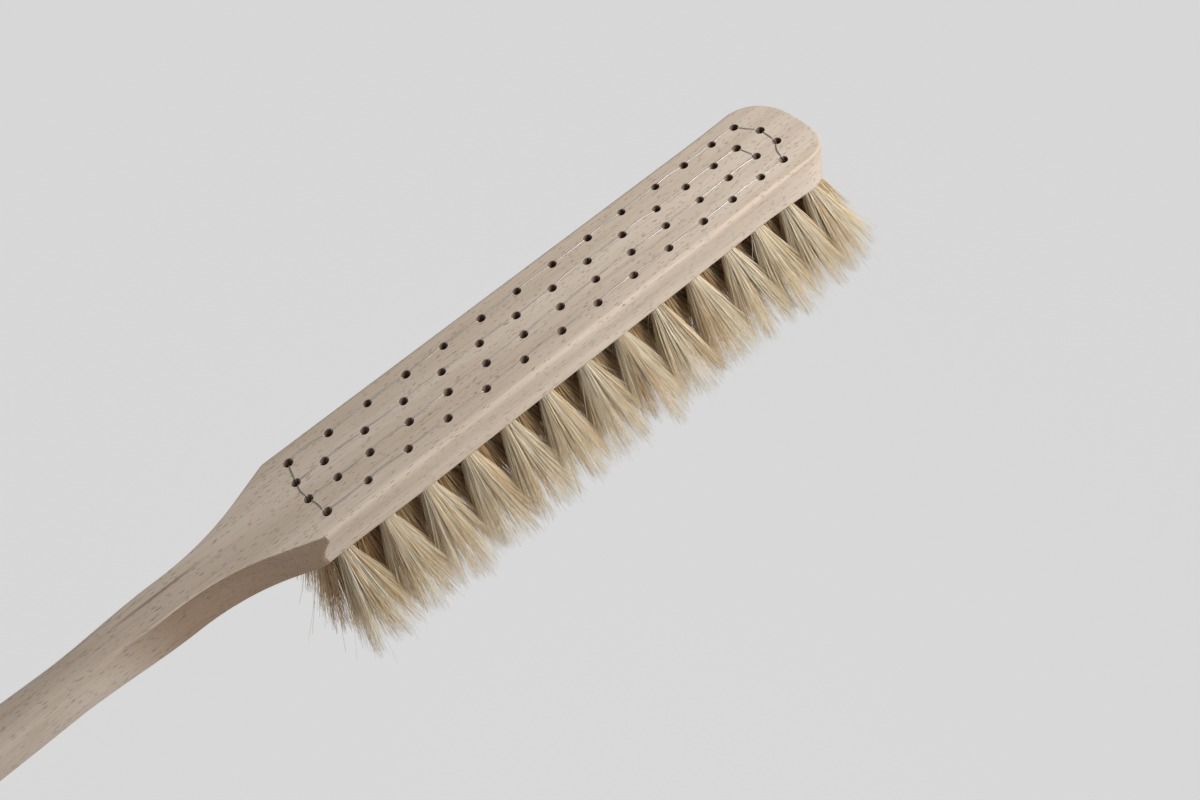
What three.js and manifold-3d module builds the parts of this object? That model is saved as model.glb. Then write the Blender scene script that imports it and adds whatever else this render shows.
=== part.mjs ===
// Drawn clothes brush: a beech board with head, neck and handle in one piece, rows of hair tufts
// pulled into stepped holes, and one steel wire that is laced over the back and holds every tuft.
// Millimetres. +Z is up (the back of the board), +X runs from the handle to the nose. The brush
// stands on its hair tips at z = 0, with the origin below the middle of its bounding box.

import * as THREE from 'three';
import { mergeVertices } from 'three/addons/utils/BufferGeometryUtils.js';
import Module from 'manifold-3d';

// ---- driving dimensions -------------------------------------------------------------------------

// board
const boardThickness = 16;
const headWidth = 39.4;
const edgeRounding = 1.9;      // long edges of the head and the handle
const noseMargin = 13;         // from the nose tufts to the tip of the board
const noseDepth = 17;          // length over which the nose rounds off
const leftFullness = 2.3;      // exponent of the nose curve: 2 is an ellipse, higher is squarer
const rightFullness = 3.5;     // the nose is sawn squarer on its right
const shoulderSetback = 5;     // the head's corner lies this far behind the first outer tufts
const shoulderAngle = 22.8;    // degrees between the shoulder's straight flank and the axis
const shoulderRadius = 12;     // outward curve that takes the corner off
const neckRadius = 80;         // inward curve where the handle begins
const handleWidth = 13.8;
const handleEndWidth = 16.4;
const handleLength = 95;       // behind the neck

// tuft pattern
const tuftPitch = 15.7;        // between neighbours in a row
const noseGap = 13.4;          // closer spacing towards the nose
const shortGap = 11;           // closest spacing, at the ends of rows
const stepGap = 12.6;          // the one odd spacing near the handle in the near inner row
const innerRowSetback = 1.9;   // the inner rows start this far behind the outer ones
const noseTuftStep = 4.9;      // the two nose tufts sit this far in front of the outer rows
const sideMargin = 7.05;       // from an outer row to the side of the board

// holes and tufts
const wireHoleDiameter = 3;    // seen on the back
const wireHoleDepth = 5.2;     // down to the wider bore
const boreDiameter = 5.4;      // the tuft sits in this one
const hairLength = 36;         // from the board down to the tips
const tuftClearance = 0.3;     // between a tuft's root and its bore
const tipClearance = 0.8;      // between the tips of neighbouring tufts

// The holes are drilled aslant, so that the tufts fan out, and the hair leans on below the board.
// All of these are runs per unit of drop. The lengthwise ones grow evenly from handle end to nose.
const outwardTilt = 0.13;      // holes of the outer rows
const outwardLean = 0.36;      // hair of the outer rows
const handleTilt = -0.175;     // holes at the handle end, slanting back
const handleLean = -0.08;
const noseTilt = 0.47;         // holes at the nose, slanting forward
const noseLean = 0.22;

// wire
const wireDiameter = 0.45;
const wireClearance = 0.3;     // between the wire and the wood or the tuft roots
const wireBow = 0.35;          // how far a run of wire rises between two holes

// fineness of round shapes
const holeSides = 8;
const tuftSides = 8;
const wireSides = 5;
const edgeSteps = 3;
const curveSteps = 6;
const noseSteps = 20;

// ---- sizes that follow --------------------------------------------------------------------------

const halfHead = headWidth / 2;
const outerRowY = halfHead - sideMargin;
const innerRowY = outerRowY / 3;
const undersideZ = hairLength;
const backZ = undersideZ + boardThickness;
const boreTopZ = backZ - wireHoleDepth;

const repeat = (gap, count) => Array(count).fill(gap);

// Places along a row: a start and the gaps from one tuft to the next.
function rowPlaces(start, gaps) {
  const places = [start];
  for (const gap of gaps) places.push(places[places.length - 1] + gap);
  return places;
}

const noseEnd = [noseGap, noseGap, shortGap];
const outerPlaces = rowPlaces(0, [...repeat(tuftPitch, 10), ...noseEnd]);
const midLeftPlaces = rowPlaces(-innerRowSetback, [shortGap, ...repeat(tuftPitch, 9), ...noseEnd]);
const midRightPlaces = rowPlaces(
  -innerRowSetback,
  [shortGap, stepGap, ...repeat(tuftPitch, 9), noseGap, noseGap],
);
const noseTuftX = outerPlaces[outerPlaces.length - 1] + noseTuftStep;
const noseX = noseTuftX + noseMargin;

// ---- outline of the board -----------------------------------------------------------------------

// The flank from the head down to the handle: outward arc, straight, inward arc. The angle gives way
// if the head is hardly wider than the handle. Points run from the head to the handle, y positive.
const flankDrop = halfHead - handleWidth / 2;
const arcAngle = Math.min(
  THREE.MathUtils.degToRad(shoulderAngle),
  Math.acos(1 - flankDrop / (shoulderRadius + neckRadius)),
);
const arcDrop = (radius) => radius * (1 - Math.cos(arcAngle));
const straightDrop = flankDrop - arcDrop(shoulderRadius) - arcDrop(neckRadius);
const flankStartX = shoulderRadius * Math.tan(arcAngle / 2) - shoulderSetback;
const flankEndX = flankStartX
  - (shoulderRadius + neckRadius) * Math.sin(arcAngle)
  - straightDrop / Math.tan(arcAngle);

function flankPoints() {
  const points = [];
  for (let i = 0; i <= curveSteps; i++) {
    const a = arcAngle * i / curveSteps;
    points.push(new THREE.Vector2(
      flankStartX - shoulderRadius * Math.sin(a),
      halfHead - shoulderRadius * (1 - Math.cos(a)),
    ));
  }
  for (let i = curveSteps; i >= 0; i--) {
    const a = arcAngle * i / curveSteps;
    points.push(new THREE.Vector2(
      flankEndX + neckRadius * Math.sin(a),
      handleWidth / 2 + neckRadius * (1 - Math.cos(a)),
    ));
  }
  return points;
}

// The nose is a superellipse from the left side of the head round to the right.
function nosePoints() {
  const points = [];
  for (let i = 0; i <= noseSteps; i++) {
    const a = Math.PI / 2 - Math.PI * i / noseSteps;
    const fullness = a > 0 ? leftFullness : rightFullness;
    const round = (value) => Math.sign(value) * Math.abs(value) ** (2 / fullness);
    points.push(new THREE.Vector2(
      noseX - noseDepth + noseDepth * round(Math.cos(a)),
      halfHead * round(Math.sin(a)),
    ));
  }
  return points;
}

const mirrored = (points) => points.map((p) => new THREE.Vector2(p.x, -p.y)).reverse();

// ---- solids -------------------------------------------------------------------------------------

const wasm = await Module();
wasm.setup();

function toSolid(geometry) {
  const bare = geometry.clone();
  bare.deleteAttribute('normal');
  bare.deleteAttribute('uv');
  const merged = mergeVertices(bare, 1e-4);
  return new wasm.Manifold(new wasm.Mesh({
    numProp: 3,
    vertProperties: Float32Array.from(merged.attributes.position.array),
    triVerts: Uint32Array.from(merged.index.array),
  }));
}

function toGeometry(solid) {
  const mesh = solid.getMesh();
  const geometry = new THREE.BufferGeometry();
  geometry.setAttribute('position', new THREE.BufferAttribute(mesh.vertProperties, 3));
  geometry.setIndex(new THREE.BufferAttribute(mesh.triVerts, 1));
  geometry.computeVertexNormals();
  return geometry;
}

// The moulded blank: head and handle with rounded long edges, still square where the neck will be.
function blankGeometry() {
  const handleEndX = flankEndX - handleLength;
  const endRadius = handleEndWidth / 2;
  const shape = new THREE.Shape(nosePoints().reverse());
  shape.lineTo(flankEndX, halfHead);
  shape.lineTo(flankEndX, handleWidth / 2);
  shape.lineTo(handleEndX + endRadius, endRadius);
  shape.absarc(handleEndX + endRadius, 0, endRadius, Math.PI / 2, Math.PI * 3 / 2, false);
  shape.lineTo(flankEndX, -handleWidth / 2);
  shape.lineTo(flankEndX, -halfHead);
  const rounding = Math.min(edgeRounding, handleWidth * 0.4, boardThickness * 0.4);
  const geometry = new THREE.ExtrudeGeometry(shape, {
    depth: boardThickness - 2 * rounding,
    bevelThickness: rounding,
    bevelSize: rounding,
    bevelOffset: -rounding,
    bevelSegments: edgeSteps,
    curveSegments: curveSteps,
  });
  return geometry.translate(0, 0, undersideZ + rounding);
}

// What the saw leaves: everything inside the two flanks, with room around the head and the handle.
function sawnGeometry() {
  const room = edgeRounding;
  const flank = flankPoints();
  const outer = halfHead + room;
  const handleOuter = handleEndWidth / 2 + room;
  const backX = flankEndX - handleLength - room;
  const side = [
    new THREE.Vector2(noseX + room, outer),
    new THREE.Vector2(flankStartX, outer),
    ...flank,
    new THREE.Vector2(flankEndX - room, handleOuter),
    new THREE.Vector2(backX, handleOuter),
  ];
  const shape = new THREE.Shape([...side, ...mirrored(side)]);
  const depth = boardThickness + 2 * room;
  const geometry = new THREE.ExtrudeGeometry(shape, { depth, bevelEnabled: false });
  return geometry.translate(0, 0, undersideZ - room);
}

function cylinderAlongZ(diameter, bottomZ, topZ) {
  const geometry = new THREE.CylinderGeometry(
    diameter / 2, diameter / 2, topZ - bottomZ, holeSides,
  );
  return geometry.rotateX(Math.PI / 2).translate(0, 0, (bottomZ + topZ) / 2);
}

// A stepped hole: narrow for the wire from the back, wide for the tuft from below.
function holeSolid() {
  const through = toSolid(cylinderAlongZ(wireHoleDiameter, undersideZ - 1, backZ + 1));
  const bore = toSolid(cylinderAlongZ(boreDiameter, undersideZ - 1, boreTopZ));
  return through.add(bore);
}

// The hole's slant: a shear that leaves the back in place. Columns of the matrix, one after another.
function slant(tuft) {
  const { x, y, tilt } = tuft;
  return [
    1, 0, 0, 0,
    0, 1, 0, 0,
    -tilt.x, -tilt.y, 1, 0,
    x + tilt.x * backZ, y + tilt.y * backZ, 0, 1,
  ];
}

function boardGeometry(tufts) {
  let board = toSolid(blankGeometry()).intersect(toSolid(sawnGeometry()));
  const hole = holeSolid();
  for (const tuft of tufts) board = board.subtract(hole.transform(slant(tuft)));
  return toGeometry(board);
}

// ---- tufts --------------------------------------------------------------------------------------

// How the hole at a place is drilled, and how its hair leans below the board.
function makeTuft(name, x, y) {
  const along = (x - outerPlaces[0]) / (noseTuftX - outerPlaces[0]);
  const side = y / outerRowY;
  return {
    name: `tuft_${name}`,
    x,
    y,
    tilt: { x: THREE.MathUtils.lerp(handleTilt, noseTilt, along), y: outwardTilt * side },
    lean: { x: THREE.MathUtils.lerp(handleLean, noseLean, along), y: outwardLean * side },
  };
}

function rowTufts(name, places, y) {
  return places.map((x, i) => makeTuft(`${name}_${String(i + 1).padStart(2, '0')}`, x, y));
}

const rows = {
  left: rowTufts('left', outerPlaces, outerRowY),
  midleft: rowTufts('midleft', midLeftPlaces, innerRowY),
  midright: rowTufts('midright', midRightPlaces, -innerRowY),
  right: rowTufts('right', outerPlaces, -outerRowY),
};
const noseLeft = makeTuft('nose_left', noseTuftX, innerRowY);
const noseRight = makeTuft('nose_right', noseTuftX, -innerRowY);
const tufts = [...Object.values(rows).flat(), noseLeft, noseRight];

// Where the middle of a tuft is at a height: the hole's slant down to the underside, then the lean.
function middleAt(tuft, z) {
  const inBoard = backZ - Math.max(z, undersideZ);
  const below = Math.max(0, undersideZ - z);
  return [
    tuft.x + tuft.tilt.x * inBoard + tuft.lean.x * below,
    tuft.y + tuft.tilt.y * inBoard + tuft.lean.y * below,
  ];
}

// A tuft spreads until its tips have half of the room to the tips of its closest neighbour.
function tipRadius(tuft) {
  const [x, y] = middleAt(tuft, 0);
  const distances = tufts.filter((other) => other !== tuft).map((other) => {
    const [otherX, otherY] = middleAt(other, 0);
    return Math.hypot(x - otherX, y - otherY);
  });
  return (Math.min(...distances) - tipClearance) / 2;
}

const rootRadius = boreDiameter / 2 - tuftClearance;

// A turned body, sheared to follow the hole and the lean: root in the bore, a spreading skirt of hair
// and a flat cut at the tips.
function tuftGeometry(tuft) {
  const tip = tipRadius(tuft);
  const spread = (down) => rootRadius + (tip - rootRadius) * down;
  const profile = [
    [0, boreTopZ - wireClearance],
    [rootRadius, boreTopZ - wireClearance],
    [rootRadius, undersideZ],
    [spread(0.5), undersideZ * 0.5],
    [spread(1), 0],
    [0, 0],
  ].map(([radius, z]) => new THREE.Vector2(radius, z)).reverse();
  const geometry = new THREE.LatheGeometry(profile, tuftSides).rotateX(Math.PI / 2);
  const position = geometry.attributes.position;
  for (let i = 0; i < position.count; i++) {
    const [x, y] = middleAt(tuft, position.getZ(i));
    position.setX(i, position.getX(i) + x);
    position.setY(i, position.getY(i) + y);
  }
  geometry.computeVertexNormals();
  return geometry;
}

// ---- wire ---------------------------------------------------------------------------------------

// The order in which the wire is laced: from the far inner end hole across the handle end, up the
// near outer row, round the nose, down the far outer row, up the far inner row, down the near one.
const reversed = (row) => [...row].reverse();
const lacing = [
  rows.midleft[0],
  rows.midright[0],
  ...rows.right,
  noseRight,
  noseLeft,
  ...reversed(rows.left),
  ...rows.midleft,
  ...reversed(rows.midright),
];

// At each hole the wire drops down the wall on the side that it comes from, passes through the fold
// of the tuft and climbs the wall on the side where it leaves.
function wirePoints() {
  const wireZ = backZ + wireClearance + wireDiameter / 2;
  const foldZ = boreTopZ + wireClearance + wireDiameter / 2;
  const legReach = wireHoleDiameter / 2 - wireDiameter / 2 - wireClearance / 2;
  const legTowards = (from, to, z) => {
    const length = Math.hypot(to.x - from.x, to.y - from.y);
    const [x, y] = middleAt(from, Math.min(z, backZ));
    return new THREE.Vector3(
      x + legReach * (to.x - from.x) / length,
      y + legReach * (to.y - from.y) / length,
      z,
    );
  };
  const points = [];
  lacing.forEach((tuft, i) => {
    const before = lacing[i - 1];
    const after = lacing[i + 1];
    if (before) points.push(legTowards(tuft, before, wireZ), legTowards(tuft, before, foldZ));
    if (after) {
      points.push(legTowards(tuft, after, foldZ), legTowards(tuft, after, wireZ));
      points.push(new THREE.Vector3(
        (tuft.x + after.x) / 2, (tuft.y + after.y) / 2, wireZ + wireBow,
      ));
    }
  });
  return points;
}

// A path that visits its points at even steps of its parameter, whatever the distance between them.
class LacedPath extends THREE.Curve {
  constructor(points) {
    super();
    this.points = points;
  }

  getPoint(t, target = new THREE.Vector3()) {
    const place = t * (this.points.length - 1);
    const i = Math.min(Math.floor(place), this.points.length - 2);
    return target.lerpVectors(this.points[i], this.points[i + 1], place - i);
  }

  getPointAt(u, target) {
    return this.getPoint(u, target);
  }

  getTangentAt(u, target = new THREE.Vector3()) {
    const step = 0.5 / (this.points.length - 1);
    const ahead = this.getPoint(Math.min(1, u + step));
    return target.copy(ahead).sub(this.getPoint(Math.max(0, u - step))).normalize();
  }

  getSpacedPoints(divisions) {
    return Array.from({ length: divisions + 1 }, (_, i) => this.getPoint(i / divisions));
  }
}

function wireGeometry() {
  const points = wirePoints();
  const section = new THREE.Shape();
  for (let i = 0; i < wireSides; i++) {
    const a = 2 * Math.PI * i / wireSides;
    const x = wireDiameter / 2 * Math.cos(a);
    const y = wireDiameter / 2 * Math.sin(a);
    if (i) section.lineTo(x, y);
    else section.moveTo(x, y);
  }
  return new THREE.ExtrudeGeometry(section, {
    steps: points.length - 1,
    extrudePath: new LacedPath(points),
    curveSegments: 1,
  });
}

// ---- assembly -----------------------------------------------------------------------------------

const beech = () => new THREE.MeshStandardMaterial({ color: 0xc2ab90, roughness: 0.62, metalness: 0 });
const hair = () => new THREE.MeshStandardMaterial({ color: 0xcbb68f, roughness: 0.7, metalness: 0 });
const steel = () => new THREE.MeshStandardMaterial({ color: 0xb8b6b2, roughness: 0.3, metalness: 1 });

function named(name, geometry, material) {
  const mesh = new THREE.Mesh(geometry, material);
  mesh.name = name;
  return mesh;
}

const brush = new THREE.Group();
brush.add(named('beech_block', boardGeometry(tufts), beech()));
for (const tuft of tufts) brush.add(named(tuft.name, tuftGeometry(tuft), hair()));
brush.add(named('draw_wire', wireGeometry(), steel()));

// The middle of the brush's length goes to x = 0.
const box = new THREE.Box3().setFromObject(brush, true);
brush.position.x = -(box.min.x + box.max.x) / 2;

export default brush;
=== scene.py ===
# %% [markdown]
# # A drawn clothes brush
# The brush is one beech board with a head and a long handle. Stepped holes go through the head. Into
# each hole a bundle of hair is pulled, folded over a steel wire that is laced across the back. This
# lesson builds the three things that the eye sees, the board, the wire and the hair, as surfaces that
# are worked out with numpy, and gives each its own procedural finish.
#
# The frame holds the sizes and places: every hole and every tuft's lean is read from it.

# %% Load the frame
import math

import bpy
import numpy as np
from mathutils import Matrix, Vector


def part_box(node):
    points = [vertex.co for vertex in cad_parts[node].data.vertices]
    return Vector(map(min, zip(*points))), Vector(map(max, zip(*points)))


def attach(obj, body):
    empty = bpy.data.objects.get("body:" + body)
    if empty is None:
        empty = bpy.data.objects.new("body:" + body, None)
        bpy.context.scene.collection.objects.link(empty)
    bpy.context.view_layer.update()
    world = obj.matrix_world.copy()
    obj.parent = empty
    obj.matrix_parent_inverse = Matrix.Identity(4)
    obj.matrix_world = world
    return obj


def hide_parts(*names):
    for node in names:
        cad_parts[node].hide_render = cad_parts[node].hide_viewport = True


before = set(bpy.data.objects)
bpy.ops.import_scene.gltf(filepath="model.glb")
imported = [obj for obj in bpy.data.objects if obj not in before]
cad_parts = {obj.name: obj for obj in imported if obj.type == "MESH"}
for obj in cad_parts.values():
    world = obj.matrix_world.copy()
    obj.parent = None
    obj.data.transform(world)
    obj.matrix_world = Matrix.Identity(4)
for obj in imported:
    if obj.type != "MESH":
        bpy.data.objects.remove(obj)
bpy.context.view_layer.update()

MM = 0.001

# %% [markdown]
# ## Reading the tufts from the frame
# Each tuft's node is a simple body with a ring at the fold, one where it leaves the board and one at
# the cut end. From the first to the second it follows its hole, which is drilled aslant so that the
# tufts fan out; from the second to the third it leans on. The steps between the middles of the rings
# give both slopes, and the line through the first two gives the hole's place on the back. So the hair
# always fits the holes, and everything else on the board can be placed from them too.

# %% Tufts
board_low, board_high = (np.array(corner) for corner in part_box("beech_block"))
UNDERSIDE = board_low[2]
BACK = board_high[2]
LEVEL_TOLERANCE = 0.01 * MM


def mesh_points(mesh):
    """All points of a mesh as an array (n, 3)."""
    points = np.empty(len(mesh.vertices) * 3)
    mesh.vertices.foreach_get("co", points)
    return points.reshape(-1, 3)


def read_tuft(name):
    """Place of the hole on the back, its slant, the height of the fold and the lean of the hair.

    Slant and lean are sideways steps per unit of drop."""
    points = mesh_points(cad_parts[name].data)
    fold, tips = points[:, 2].max(), points[:, 2].min()
    centres = []
    for z in (fold, UNDERSIDE, tips):
        ring = points[np.abs(points[:, 2] - z) < LEVEL_TOLERANCE]
        centres.append((ring.min(0) + ring.max(0))[:2] / 2)
    tilt = (centres[1] - centres[0]) / (fold - UNDERSIDE)
    lean = (centres[2] - centres[1]) / (UNDERSIDE - tips)
    place = centres[0] - tilt * (BACK - fold)
    return {"name": name, "place": place, "tilt": tilt, "fold": fold, "lean": lean}


tufts = [read_tuft(name) for name in sorted(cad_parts) if name.startswith("tuft_")]
by_name = {tuft["name"]: tuft for tuft in tufts}
first_tuft_x = by_name["tuft_left_01"]["place"][0]
print(len(tufts), "tufts; a middle one stands at", tufts[8]["place"], "with slant", tufts[8]["tilt"])

# %% [markdown]
# ## Camera
# The brush is looked at from above its near side, with a 35 mm lens on a 36 mm sensor, and the camera
# is rolled so that the brush climbs from the handle at the lower left to the nose at the upper right.
# The two direction vectors are where the camera's own right and its own top point.

# %% Camera
CAMERA_PLACE = Vector((0.19, -241.6, 344.35)) * MM
CAMERA_RIGHT = Vector((0.7597, -0.6196, -0.1974))
CAMERA_UP = Vector((0.6062, 0.5650, 0.5597))

camera_data = bpy.data.cameras.new("camera")
camera_data.lens = 35
camera_data.sensor_width = 36
camera_data.clip_start = 0.01
camera_data.clip_end = 50
camera = bpy.data.objects.new("camera", camera_data)
bpy.context.scene.collection.objects.link(camera)
right = CAMERA_RIGHT.normalized()
back = right.cross(CAMERA_UP).normalized()
up = back.cross(right)
turned = Matrix((right, up, back)).transposed().to_4x4()
camera.matrix_world = Matrix.Translation(CAMERA_PLACE + Vector((first_tuft_x, 0, 0))) @ turned
bpy.context.scene.camera = camera
print("camera looks along", [round(-c, 3) for c in back])

# %% [markdown]
# ## Floor and light
# The brush hovers high over a plain pale floor that glows a little, like a light table, so that no
# shadow touches the hair. One small soft lamp stands close to the nose, on its near side and above.
# Being close, it fades from the nose to the handle, and it makes the near side as light as the back.
# A pale room fills the shadows. It is dim on the handle's side and towards the viewer, where a person
# would stand, so the flank of the neck stays in shade.

# %% Floor and light
FLOOR_DROP = 2.5
FLOOR_HALF = 30.0
FLOOR_GREY = 0.80
FLOOR_GLOW = 0.45
FLOOR_ROUGHNESS = 0.9
LAMP_PLACE = Vector((0.28, -0.27, 0.31))
LAMP_SIZE = 0.24
LAMP_WATTS = 1.9
ROOM_TOWARDS = Vector((0.45, 0.35, 0.75))
ROOM_BRIGHT = 0.32
ROOM_DIM = 0.07
ROOM_DIM_FACING = -0.5
ROOM_BRIGHT_FACING = 0.6


def plain_material(name, colour, roughness):
    """A material of one colour, for the stage only."""
    material = bpy.data.materials.new(name)
    material.use_nodes = True
    shader = material.node_tree.nodes["Principled BSDF"]
    shader.inputs["Base Color"].default_value = (*colour, 1)
    shader.inputs["Roughness"].default_value = roughness
    return material


floor_mesh = bpy.data.meshes.new("floor")
floor_corners = [(-1, -1), (1, -1), (1, 1), (-1, 1)]
floor_mesh.from_pydata(
    [(x * FLOOR_HALF, y * FLOOR_HALF, -FLOOR_DROP) for x, y in floor_corners], [], [(0, 1, 2, 3)]
)
floor = bpy.data.objects.new("floor", floor_mesh)
bpy.context.scene.collection.objects.link(floor)
pale_floor = plain_material("pale_floor", (FLOOR_GREY,) * 3, FLOOR_ROUGHNESS)
floor_shader = pale_floor.node_tree.nodes["Principled BSDF"]
floor_shader.inputs["Emission Color"].default_value = (1, 1, 1, 1)
floor_shader.inputs["Emission Strength"].default_value = FLOOR_GLOW
floor_mesh.materials.append(pale_floor)

lamp_data = bpy.data.lights.new("window", "AREA")
lamp_data.shape = "SQUARE"
lamp_data.size = LAMP_SIZE
lamp_data.energy = LAMP_WATTS
lamp_data.color = (1.0, 0.995, 0.985)
lamp = bpy.data.objects.new("window", lamp_data)
bpy.context.scene.collection.objects.link(lamp)
lamp.location = LAMP_PLACE
lamp.rotation_mode = "QUATERNION"
lamp.rotation_quaternion = LAMP_PLACE.to_track_quat("Z", "Y")
lamp.visible_camera = False
bpy.context.scene.view_settings.view_transform = "Standard"
print("floor", FLOOR_DROP, "m below the tips; lamp of", LAMP_WATTS, "W at", list(LAMP_PLACE))

# %% [markdown]
# ## Helpers for surfaces
# Every piece below is a grid of points: row after row along one parameter, point after point along the
# other. Blender keeps a mesh as long lists, of points and of the corners that each face uses, and takes
# a whole list in one call. That is why even thousands of hairs in one mesh take only a moment.

# %% Mesh helpers


def new_mesh(name, points, corners, starts):
    """A mesh from whole arrays: points (n, 3), the point at each face corner, each face's first corner."""
    mesh = bpy.data.meshes.new(name)
    mesh.vertices.add(len(points))
    mesh.vertices.foreach_set("co", np.asarray(points, np.float32).ravel())
    mesh.loops.add(len(corners))
    mesh.loops.foreach_set("vertex_index", corners)
    mesh.polygons.add(len(starts))
    mesh.polygons.foreach_set("loop_start", starts)
    return mesh


def face_lists(*faces):
    """The corners of all faces in one list, and where each face starts: the sum of the sizes before."""
    corners = np.concatenate([np.asarray(group).ravel() for group in faces]).astype(np.int32)
    sizes = np.concatenate([np.full(len(group), np.shape(group)[1]) for group in faces])
    starts = np.concatenate([[0], np.cumsum(sizes)[:-1]]).astype(np.int32)
    return corners, starts


def mesh_with_caps(name, points, quads, caps):
    """A mesh from points (n, 3), quads (m, 4) and caps, which are polygons with many corners."""
    mesh = new_mesh(name, points, *face_lists(quads, *[[cap] for cap in caps]))
    mesh.update(calc_edges=True)
    mesh.validate()
    return mesh


def tube_quads(rings, sides, first=0):
    """The quads of a tube whose rings of points follow each other: each quad joins two neighbours on
    one ring to the same two on the next."""
    i, j = np.meshgrid(np.arange(rings - 1), np.arange(sides), indexing="ij")
    a = i * sides + j
    b = i * sides + (j + 1) % sides
    return (first + np.stack([a, b, b + sides, a + sides], -1)).reshape(-1, 4)


def smooth(mesh):
    """Marks every face as part of a curved surface."""
    mesh.polygons.foreach_set("use_smooth", np.ones(len(mesh.polygons), bool))


def show(name, mesh, material, slot_name, *nodes):
    """Puts a finished mesh in the scene: it rides on the brush, wears its finish, and stands for the
    frame's own nodes."""
    mesh.materials.append(material)
    piece = bpy.data.objects.new(name, mesh)
    bpy.context.scene.collection.objects.link(piece)
    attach(piece, "root")
    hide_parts(*nodes)
    return piece


def ease(t):
    """Runs from 0 to 1 with a slow start and a slow end: three t squared less two t cubed."""
    t = np.clip(t, 0, 1)
    return t * t * (3 - 2 * t)


print("a tube of 3 rings of 4 points has", len(tube_quads(3, 4)), "quads")

# %% [markdown]
# ## Helpers for node trees
# A material is a small graph. These helpers add one node with its settings and link its inputs, so
# that each finish below reads as a list of steps.

# %% Node helpers


def add(tree, kind, settings=None, **inputs):
    """Adds a node. Settings are its own attributes, and inputs are values or sockets to link, named
    by the socket's name with spaces as underscores, or by its number as in_0, in_1."""
    node = tree.nodes.new(kind)
    for attribute, value in (settings or {}).items():
        setattr(node, attribute, value)
    for key_name, value in inputs.items():
        name = int(key_name[3:]) if key_name.startswith("in_") else key_name.replace("_", " ")
        if isinstance(value, bpy.types.NodeSocket):
            tree.links.new(value, node.inputs[name])
        else:
            node.inputs[name].default_value = value
    return node


def arithmetic(tree, operation, a, b):
    """One step of arithmetic on two numbers."""
    return add(tree, "ShaderNodeMath", settings={"operation": operation}, in_0=a, in_1=b).outputs[0]


def vector_step(tree, operation, a, b):
    """One step of arithmetic on two vectors. A dot product comes out as "Value", others as "Vector"."""
    return add(tree, "ShaderNodeVectorMath", settings={"operation": operation}, in_0=a, in_1=b).outputs


def noise(tree, vector, detail, scale=1.0):
    """A noise texture at a place: its outputs."""
    return add(tree, "ShaderNodeTexNoise", Vector=vector, Scale=scale, Detail=detail).outputs


def mixed(tree, factor, a, b, blend="MIX"):
    """Mixes two colours by a factor."""
    settings = {"data_type": "RGBA", "blend_type": blend}
    node = add(tree, "ShaderNodeMix", settings=settings)
    for index, value in ((0, factor), (6, a), (7, b)):
        if isinstance(value, bpy.types.NodeSocket):
            tree.links.new(value, node.inputs[index])
        else:
            node.inputs[index].default_value = value
    return node.outputs[2]


def ramp(tree, factor, low, high, from_value=0.0, to_value=1.0):
    """Turns a value between low and high into one between from_value and to_value, softly."""
    settings = {"interpolation_type": "SMOOTHSTEP"}
    node = add(tree, "ShaderNodeMapRange", settings=settings, Value=factor)
    limits = {"From Min": low, "From Max": high, "To Min": from_value, "To Max": to_value}
    for name, value in limits.items():
        node.inputs[name].default_value = value
    return node.outputs[0]


def stretched(tree, vector, x, y, z, shift=(0.0, 0.0, 0.0)):
    """Object coordinates measured in cells of x by y by z metres."""
    scale = (1 / x, 1 / y, 1 / z)
    return add(tree, "ShaderNodeMapping", Vector=vector, Location=shift, Scale=scale).outputs[0]


def point_value(tree, name):
    """A number that the mesh keeps for each of its points."""
    return add(tree, "ShaderNodeAttribute", settings={"attribute_name": name}).outputs["Fac"]


def new_material(name):
    """An empty material, its node tree and its shader."""
    material = bpy.data.materials.new(name)
    material.use_nodes = True
    return material, material.node_tree, material.node_tree.nodes["Principled BSDF"]


def new_group(name, inputs, outputs):
    """An empty node group with named inputs and outputs, given as (name, socket type, default)."""
    group = bpy.data.node_groups.new(name, "ShaderNodeTree")
    for label, kind, default in inputs:
        socket = group.interface.new_socket(name=label, in_out="INPUT", socket_type=kind)
        if default is not None:
            socket.default_value = default
    for label, kind in outputs:
        group.interface.new_socket(name=label, in_out="OUTPUT", socket_type=kind)
    return group, group.nodes.new("NodeGroupInput"), group.nodes.new("NodeGroupOutput")


# %% [markdown]
# ## The room
# The room's light is a world background whose strength runs from bright beyond the nose to dim on
# the handle's side. It follows how far each direction points to the bright side.

# %% Room


def pale_room():
    """A world with one bright side: direction dot bright side, turned into a strength."""
    world = bpy.data.worlds.new("pale_room")
    world.use_nodes = True
    tree = world.node_tree
    direction = add(tree, "ShaderNodeTexCoord").outputs["Generated"]
    towards = ROOM_TOWARDS.normalized()
    facing = vector_step(tree, "DOT_PRODUCT", direction, tuple(towards))["Value"]
    strength = ramp(tree, facing, ROOM_DIM_FACING, ROOM_BRIGHT_FACING, ROOM_DIM, ROOM_BRIGHT)
    background = tree.nodes["Background"]
    background.inputs["Color"].default_value = (1.0, 1.0, 1.0, 1)
    tree.links.new(strength, background.inputs["Strength"])
    return world


bpy.context.scene.world = pale_room()
print("room's strength runs from", ROOM_DIM, "to", ROOM_BRIGHT)

# %% [markdown]
# ## Beech
# Beech is a pale pinkish cream. What tells it from other woods are its rays: short brown dashes, a few
# millimetres long and a few tenths wide, that lie along the grain. A cell pattern stretched along the
# grain makes them: the middle of each long cell is a dash, and each cell's own random colour decides
# how dark it is and whether it shows. Three such layers of different cells lie over each other. Under
# them are fine pore streaks and slow changes of tone. The group gives out the colour, a height for the
# bump and a roughness.

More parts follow.
